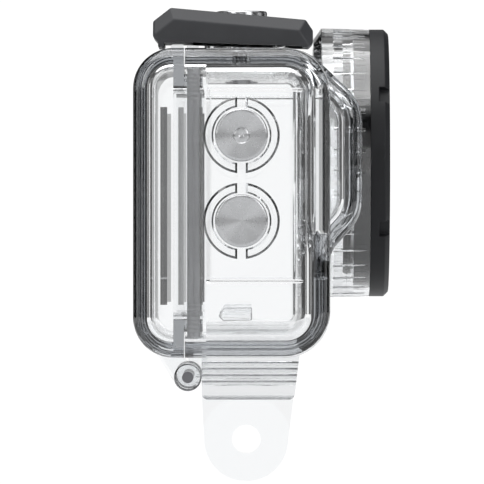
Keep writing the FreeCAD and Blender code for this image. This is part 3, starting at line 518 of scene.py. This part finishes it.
def build_camera():
    """A long lens level with the shell's middle, looking along +X at the button side."""
    data = bpy.data.cameras.new("side_camera")
    data.sensor_width = 36.0
    data.lens = data.sensor_width * CAMERA_DISTANCE / VIEW_WIDTH
    data.clip_start = 0.05
    data.clip_end = 20.0
    camera = bpy.data.objects.new("side_camera", data)
    bpy.context.scene.collection.objects.link(camera)
    camera.location = (-CAMERA_DISTANCE, *VIEW_CENTRE)
    camera.rotation_euler = (math.radians(90), 0.0, math.radians(-90))
    bpy.context.scene.camera = camera


LIT_POINT = (0, 0, 0.04)


def area_light(name, place, size, power):
    """A soft rectangle that faces the middle of the object."""
    data = bpy.data.lights.new(name, "AREA")
    data.shape = "RECTANGLE"
    data.size, data.size_y = size
    data.energy = power
    light = bpy.data.objects.new(name, data)
    bpy.context.scene.collection.objects.link(light)
    light.location = place
    aim = Vector(LIT_POINT) - Vector(place)
    light.rotation_euler = aim.to_track_quat("-Z", "Y").to_euler()


FLOOR_HALF = 1.3
FLOOR_DROP = 0.06


def build_floor():
    """A pale paper floor below the object, with painted shade: darker around the middle under the
    object and whiter towards its border.
    """
    mesh = bpy.data.meshes.new("pale_floor")
    half = FLOOR_HALF
    level = cad_box[0][2] - FLOOR_DROP
    corners = [(-half, -half, level), (half, -half, level), (half, half, level), (-half, half, level)]
    mesh.from_pydata(corners, [], [(0, 1, 2, 3)])
    floor = bpy.data.objects.new("pale_floor", mesh)
    bpy.context.scene.collection.objects.link(floor)
    pale = new_material("pale_floor_paper", (0.9, 0.9, 0.9), 0.9)
    space = texture_space(pale)
    fibres = noise(pale, space, 300.0, 3.0)
    add_bump(pale, fibres, "Fac", 0.05, 0.0003)
    # Painted shade: the floor's colour darkens within a quarter metre of the middle, under the
    # object, and pales towards the border.
    distance = node(pale, "ShaderNodeVectorMath", operation="LENGTH")
    link(pale, space, "Vector", distance, "Vector")
    reach = node(pale, "ShaderNodeMapRange")
    reach.inputs["From Min"].default_value = 0.25
    reach.inputs["From Max"].default_value = 1.2
    link(pale, distance, "Value", reach, "Value")
    vary_color(pale, reach, "Result", (0.55, 0.555, 0.56), (0.94, 0.94, 0.94))
    mesh.materials.append(pale)


# The studio's upright panels: (azimuth in degrees from the X axis, half width, brightness).
# They are at full strength up to PANEL_TOP degrees and at UPPER_SHARE of it up to UPPER_TOP.
WALL_PANELS = [(0, 16, 0.5), (0, 8, 1.05), (45, 4, 1.0), (90, 16, 0.5), (90, 9, 1.05)]

PANEL_TOP = 14
UPPER_TOP = 27
UPPER_SHARE = 0.3
CEILING = (44, 70)
FLAG = 0.015
DARKEST = 0.01


def math_node(kind, first, second=None):
    """A maths node of the world on one or two numbers or sockets; returns its output."""
    tree = bpy.context.scene.world.node_tree
    item = tree.nodes.new("ShaderNodeMath")
    item.operation = kind
    for socket, source in zip(item.inputs, (first, second)):
        if source is None:
            continue
        if isinstance(source, (int, float)):
            socket.default_value = source
        else:
            tree.links.new(source, socket)
    return item.outputs[0]


def band(source, low, high, soft):
    """One inside low to high, zero outside, with soft borders."""
    tree = bpy.context.scene.world.node_tree
    steps = []
    for border in (low, high):
        step = tree.nodes.new("ShaderNodeMapRange")
        step.interpolation_type = "SMOOTHSTEP"
        step.inputs["From Min"].default_value = border - soft
        step.inputs["From Max"].default_value = border + soft
        tree.links.new(source, step.inputs["Value"])
        steps.append(step.outputs[0])
    return math_node("SUBTRACT", *steps)


def build_world():
    """White panels around the object with dark flags between them, and a white ceiling panel."""
    world = bpy.data.worlds.new("studio")
    bpy.context.scene.world = world
    world.use_nodes = True
    tree = world.node_tree
    background = tree.nodes["Background"]
    place = tree.nodes.new("ShaderNodeTexCoord")
    split = tree.nodes.new("ShaderNodeSeparateXYZ")
    tree.links.new(place.outputs["Generated"], split.inputs["Vector"])

    across = math_node("ABSOLUTE", split.outputs["X"])
    side = math_node("ABSOLUTE", split.outputs["Y"])
    azimuth = math_node("ARCTAN2", side, across)
    height = math_node("ARCSINE", math_node("ABSOLUTE", split.outputs["Z"]))
    walls = FLAG
    for centre, reach, power in WALL_PANELS:
        panel = band(azimuth, math.radians(centre - reach), math.radians(centre + reach),
                     math.radians(2))
        walls = math_node("MAXIMUM", walls, math_node("MULTIPLY", panel, power))
    tall = band(height, -1.0, math.radians(PANEL_TOP), math.radians(2))
    upper = band(height, -1.0, math.radians(UPPER_TOP), math.radians(2))
    upper = math_node("MULTIPLY", upper, UPPER_SHARE)
    walls = math_node("MULTIPLY", walls, math_node("MAXIMUM", tall, upper))
    ceiling = band(height, math.radians(CEILING[0]), math.radians(CEILING[1]), math.radians(4))
    level = math_node("MAXIMUM", math_node("MAXIMUM", walls, ceiling), DARKEST)
    seen = tree.nodes.new("ShaderNodeLightPath")
    level = math_node("MAXIMUM", level, seen.outputs["Is Camera Ray"])
    level = math_node("MAXIMUM", level, seen.outputs["Is Diffuse Ray"])
    tree.links.new(level, background.inputs["Strength"])
    background.inputs["Color"].default_value = (1.0, 1.0, 1.0, 1.0)


def build_stage():
    build_camera()
    build_floor()
    build_world()
    area_light("top_softbox", (-0.1, 0.1, 0.9), (0.9, 0.9), 9.0)
    area_light("front_softbox", (-0.9, -0.6, 0.5), (0.5, 0.7), 4.0)
    area_light("rear_softbox", (-0.9, 0.7, 0.45), (0.4, 0.7), 3.0)
    settings = bpy.context.scene.cycles
    settings.max_bounces = 32
    settings.transmission_bounces = 28
    settings.glossy_bounces = 12
    settings.transparent_max_bounces = 16
    bpy.context.scene.view_settings.view_transform = "Standard"


finish_nodes()
for button in BUTTONS:
    build_cap(button)
    build_spring(button)
build_gasket()
build_locators()
build_stage()
